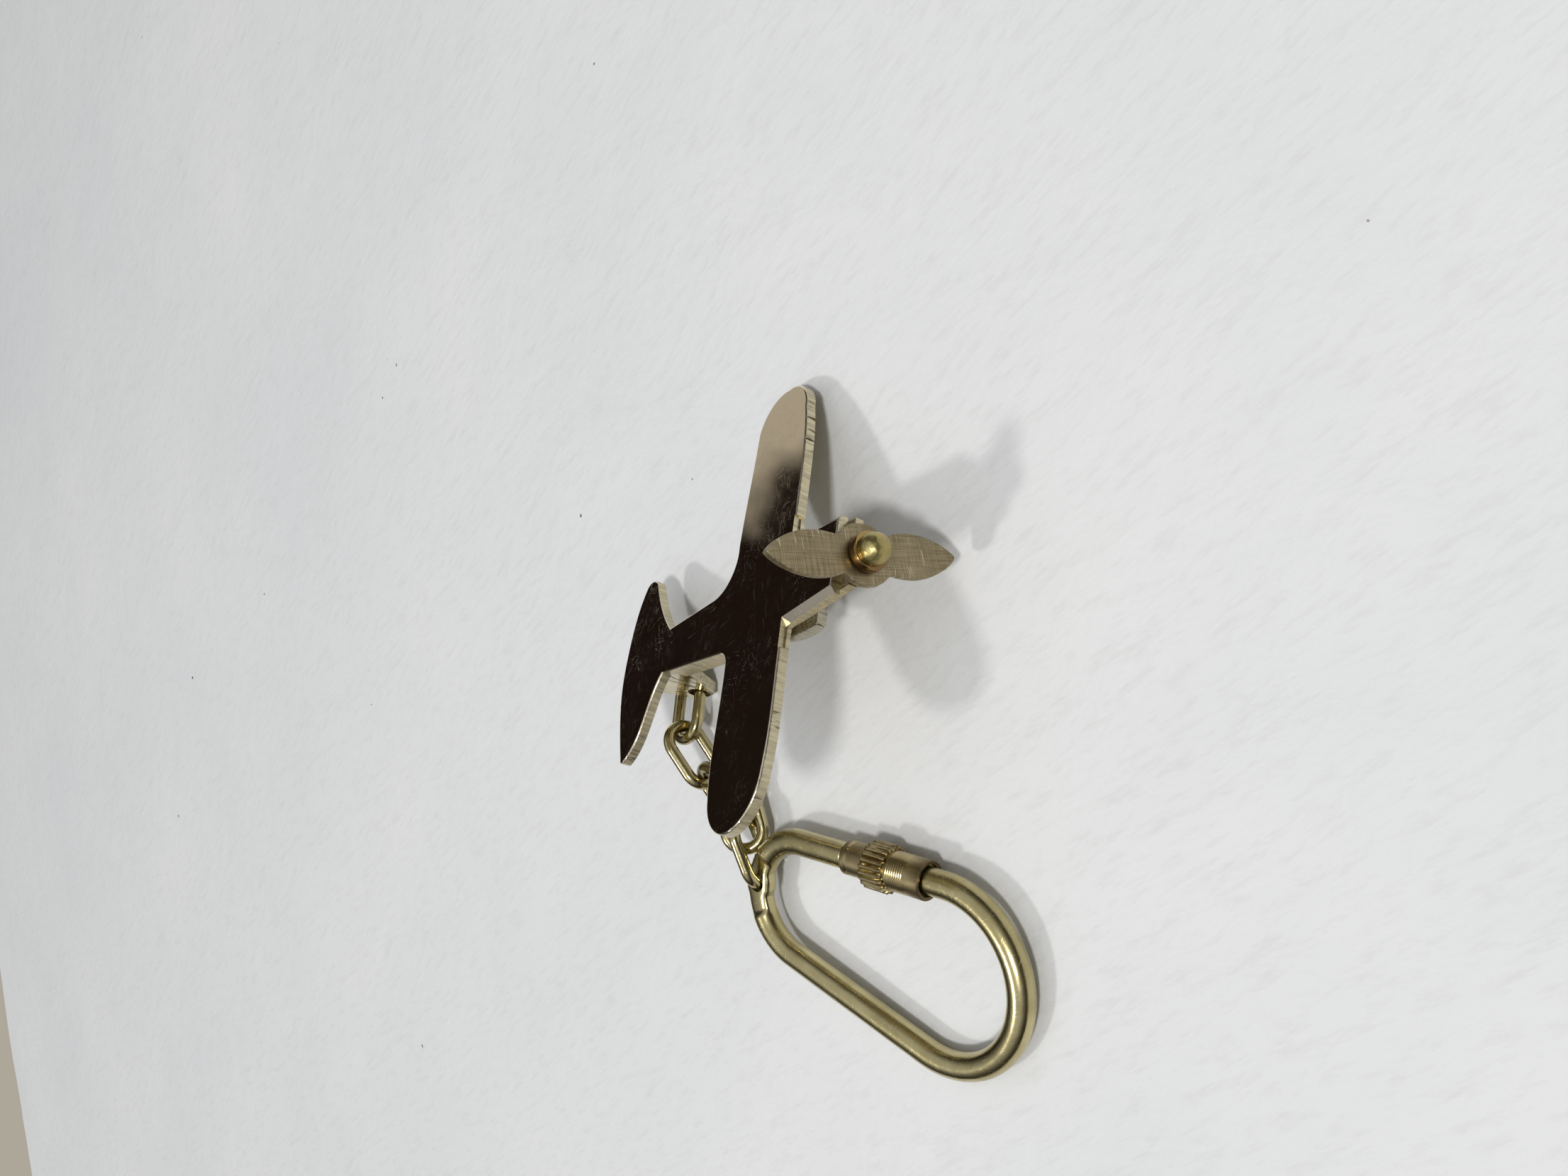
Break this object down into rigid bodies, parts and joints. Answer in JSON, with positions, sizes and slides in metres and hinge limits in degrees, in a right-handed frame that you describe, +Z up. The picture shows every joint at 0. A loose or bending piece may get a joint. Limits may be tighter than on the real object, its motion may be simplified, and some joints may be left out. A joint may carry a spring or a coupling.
{
  "type": "keychain bottle opener",
  "caption": "Aeroplane-shaped brass bottle opener: the tail is the handle, a hook under the wing lifts the cap; spinning propeller, and a chain to a pear key ring with a screw sleeve.",
  "frame": {"origin": "centre of the footprint on the surface that it lies on", "axes": "+Z is up off the surface, +X runs from the key ring to the wing tip along the longest side, and -Y is where the nose of the aeroplane points"},
  "size_m": [0.092, 0.0622, 0.0296],
  "materials": {
    "polished_plate": "mirror polished brass with fine scratches",
    "filed_brass": "filed and half polished brass with file marks and pits",
    "hook_brass": "smooth satin brass",
    "pin_brass": "bright hammered brass",
    "propeller_brass": "dull cross-brushed brass",
    "chain_brass": "satin drawn brass wire",
    "ring_brass": "satin brass wire, slightly tarnished",
    "sleeve_brass": "turned brass with straight knurl"
  },
  "bodies": {
    "airframe": {"airframe_plate": "polished_plate", "nose_block": "filed_brass", "opener_hook": "hook_brass", "tail_keel": "filed_brass", "chain_lug": "filed_brass", "pin_collar": "pin_brass", "propeller_pin": "pin_brass"},
    "propeller": {"propeller": "propeller_brass"},
    "chain_link_1": {"chain_link_1": "chain_brass"},
    "chain_link_2": {"chain_link_2": "chain_brass"},
    "chain_link_3": {"chain_link_3": "chain_brass"},
    "chain_link_4": {"chain_link_4": "chain_brass"},
    "chain_link_5": {"chain_link_5": "chain_brass"},
    "key_ring": {"key_ring": "ring_brass"},
    "lock_sleeve": {"lock_sleeve": "sleeve_brass"}
  },
  "joints": [
    {"name": "propeller_spin", "type": "hinge", "parent": "airframe", "child": "propeller", "pos_m": [0.01677, -0.02637, 0.01594], "axis": [0, -0.9921, 0.1253], "continuous": true},
    {"name": "chain_link_1_swing", "type": "hinge", "parent": "airframe", "child": "chain_link_1", "pos_m": [0.01374, 0.02449, 0.00207], "axis": [0.8942, -0.0561, -0.4442], "range_deg": [-12, 14]},
    {"name": "chain_link_2_swing", "type": "hinge", "parent": "chain_link_1", "child": "chain_link_2", "pos_m": [0.00714, 0.02819, 0.00451], "axis": [0.2446, 0.9592, -0.1417], "range_deg": [-50, 70]},
    {"name": "chain_link_3_swing", "type": "hinge", "parent": "chain_link_2", "child": "chain_link_3", "pos_m": [0.00006, 0.02597, 0.00301], "axis": [-0.3751, 0.0878, 0.9228], "range_deg": [-120, 40]},
    {"name": "chain_link_4_swing", "type": "hinge", "parent": "chain_link_3", "child": "chain_link_4", "pos_m": [-0.00149, 0.01904, 0.00533], "axis": [-0.9626, -0.1394, -0.2322], "range_deg": [-15, 5]},
    {"name": "chain_link_5_swing", "type": "hinge", "parent": "chain_link_4", "child": "chain_link_5", "pos_m": [-0.00702, 0.01878, 0.0024], "axis": [0.9995, -0.0262, 0.0175], "range_deg": [-12, 4]},
    {"name": "key_ring_swing", "type": "hinge", "parent": "chain_link_5", "child": "key_ring", "pos_m": [-0.01545, 0.02083, 0.00347], "axis": [-0.0546, 0.0027, 0.9985], "range_deg": [-10, 3]},
    {"name": "sleeve_turn", "type": "hinge", "parent": "key_ring", "child": "lock_sleeve", "pos_m": [-0.01805, -0.003, 0.00339], "axis": [-0.4061, -0.9136, -0.0197], "continuous": true}
  ]
}
